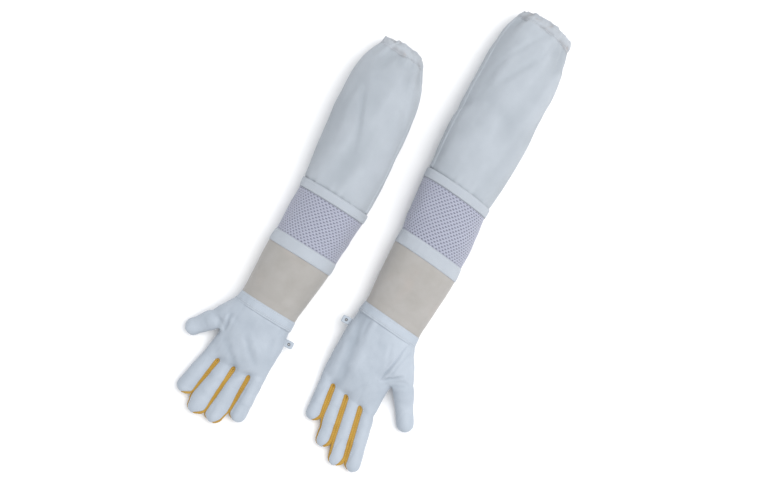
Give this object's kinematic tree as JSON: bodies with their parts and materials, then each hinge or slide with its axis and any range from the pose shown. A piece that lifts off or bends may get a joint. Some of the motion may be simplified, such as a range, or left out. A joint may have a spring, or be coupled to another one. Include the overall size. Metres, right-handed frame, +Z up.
{
  "type": "pair of beekeeping gloves",
  "caption": "Long beekeeping gloves: white leather hands with yellow finger gussets, beige gauntlets, mesh vent bands and canvas sleeves with elastic ends.",
  "frame": {"origin": "centre of the pair's bounding box on the surface that it lies on", "axes": "+Z up, +Y from the finger tips up the sleeves, +X from the right glove to the left glove"},
  "size_m": [0.3592, 0.7325, 0.074],
  "materials": {
    "white_leather": "smooth white goat leather with a fine grain",
    "gauntlet_suede": "soft grey-beige split leather, matt",
    "yellow_leather": "golden yellow leather strip, matt",
    "canvas": "white cotton canvas, plain weave",
    "band_cotton": "white folded cotton tape",
    "vent_mesh": "lavender polyester mesh with staggered holes",
    "spacer_knit": "open spacer knit",
    "elastic": "flat woven elastic"
  },
  "bodies": {
    "right_cuff": {"right_gauntlet": "gauntlet_suede", "right_lower_band": "band_cotton", "right_mesh_outer": "vent_mesh", "right_mesh_spacer": "spacer_knit", "right_mesh_lining": "vent_mesh", "right_wrist_hem": "white_leather"},
    "right_sleeve": {"right_upper_band": "band_cotton", "right_sleeve": "canvas", "right_sleeve_seam": "canvas", "right_cuff_casing": "canvas", "right_cuff_elastic": "elastic"},
    "right_hand": {"right_palm_panel": "white_leather", "right_back_panel": "white_leather", "right_side_tab": "white_leather"},
    "right_thumb": {"right_thumb_front": "white_leather", "right_thumb_back": "white_leather"},
    "right_index": {"right_index_front": "white_leather", "right_index_back": "white_leather", "right_index_fourchette": "yellow_leather"},
    "right_middle": {"right_middle_front": "white_leather", "right_middle_back": "white_leather", "right_middle_fourchette": "yellow_leather"},
    "right_ring": {"right_ring_front": "white_leather", "right_ring_back": "white_leather", "right_ring_fourchette": "yellow_leather"},
    "right_little": {"right_little_front": "white_leather", "right_little_back": "white_leather", "right_little_fourchette": "yellow_leather"},
    "left_cuff": {"left_gauntlet": "gauntlet_suede", "left_lower_band": "band_cotton", "left_mesh_outer": "vent_mesh", "left_mesh_spacer": "spacer_knit", "left_mesh_lining": "vent_mesh", "left_wrist_hem": "white_leather"},
    "left_sleeve": {"left_upper_band": "band_cotton", "left_sleeve": "canvas", "left_sleeve_seam": "canvas", "left_cuff_casing": "canvas", "left_cuff_elastic": "elastic"},
    "left_hand": {"left_palm_panel": "white_leather", "left_back_panel": "white_leather", "left_side_tab": "white_leather"},
    "left_thumb": {"left_thumb_front": "white_leather", "left_thumb_back": "white_leather"},
    "left_index": {"left_index_front": "white_leather", "left_index_back": "white_leather", "left_index_fourchette": "yellow_leather"},
    "left_middle": {"left_middle_front": "white_leather", "left_middle_back": "white_leather", "left_middle_fourchette": "yellow_leather"},
    "left_ring": {"left_ring_front": "white_leather", "left_ring_back": "white_leather", "left_ring_fourchette": "yellow_leather"},
    "left_little": {"left_little_front": "white_leather", "left_little_back": "white_leather", "left_little_fourchette": "yellow_leather"}
  },
  "joints": [
    {"name": "left_glove_lift", "type": "slide", "parent": "right_cuff", "child": "left_cuff", "axis": [0, 0, 1], "range_m": [0, 0.2]},
    {"name": "right_sleeve_fold", "type": "hinge", "parent": "right_cuff", "child": "right_sleeve", "pos_m": [-0.0719, -0.0449, 0.05], "axis": [0.9962, -0.0872, 0], "range_deg": [0, 90], "deforming": ["right_mesh_outer", "right_mesh_spacer", "right_mesh_lining"]},
    {"name": "right_wrist_flex", "type": "hinge", "parent": "right_cuff", "child": "right_hand", "pos_m": [-0.0839, -0.1879, 0.042], "axis": [-0.9962, 0.0872, 0], "range_deg": [0, 50], "deforming": ["right_wrist_hem"]},
    {"name": "right_thumb_flex", "type": "hinge", "parent": "right_hand", "child": "right_thumb", "pos_m": [-0.1449, -0.2309, 0.016], "axis": [-0.7314, 0.682, 0], "range_deg": [0, 50]},
    {"name": "right_index_flex", "type": "hinge", "parent": "right_hand", "child": "right_index", "pos_m": [-0.12628, -0.27963, 0.014], "axis": [-0.9681, 0.2504, 0], "range_deg": [0, 65]},
    {"name": "right_middle_flex", "type": "hinge", "parent": "right_hand", "child": "right_middle", "pos_m": [-0.10119, -0.28051, 0.014], "axis": [-0.9877, 0.1564, 0], "range_deg": [0, 65]},
    {"name": "right_ring_flex", "type": "hinge", "parent": "right_hand", "child": "right_ring", "pos_m": [-0.07611, -0.28138, 0.014], "axis": [-0.9962, 0.0872, 0], "range_deg": [0, 65]},
    {"name": "right_little_flex", "type": "hinge", "parent": "right_hand", "child": "right_little", "pos_m": [-0.05252, -0.2822, 0.014], "axis": [-1, 0, 0], "range_deg": [0, 65]},
    {"name": "left_sleeve_fold", "type": "hinge", "parent": "left_cuff", "child": "left_sleeve", "pos_m": [0.08401, 0.0391, 0.05], "axis": [0.9903, -0.1392, 0], "range_deg": [0, 90], "deforming": ["left_mesh_outer", "left_mesh_spacer", "left_mesh_lining"]},
    {"name": "left_wrist_flex", "type": "hinge", "parent": "left_cuff", "child": "left_hand", "pos_m": [0.0821, -0.1249, 0.042], "axis": [-0.9903, 0.1392, 0], "range_deg": [0, 50], "deforming": ["left_wrist_hem"]},
    {"name": "left_thumb_flex", "type": "hinge", "parent": "left_hand", "child": "left_thumb", "pos_m": [0.1406, -0.1959, 0.016], "axis": [-0.866, -0.5, 0], "range_deg": [0, 50]},
    {"name": "left_index_flex", "type": "hinge", "parent": "left_hand", "child": "left_index", "pos_m": [0.1107, -0.25047, 0.014], "axis": [-0.9799, -0.1994, 0], "range_deg": [0, 65]},
    {"name": "left_middle_flex", "type": "hinge", "parent": "left_hand", "child": "left_middle", "pos_m": [0.08615, -0.24525, 0.014], "axis": [-0.9863, -0.165, 0], "range_deg": [0, 65]},
    {"name": "left_ring_flex", "type": "hinge", "parent": "left_hand", "child": "left_ring", "pos_m": [0.0616, -0.24003, 0.014], "axis": [-0.9903, -0.1392, 0], "range_deg": [0, 65]},
    {"name": "left_little_flex", "type": "hinge", "parent": "left_hand", "child": "left_little", "pos_m": [0.03852, -0.23512, 0.014], "axis": [-0.9976, -0.0698, 0], "range_deg": [0, 65]}
  ]
}
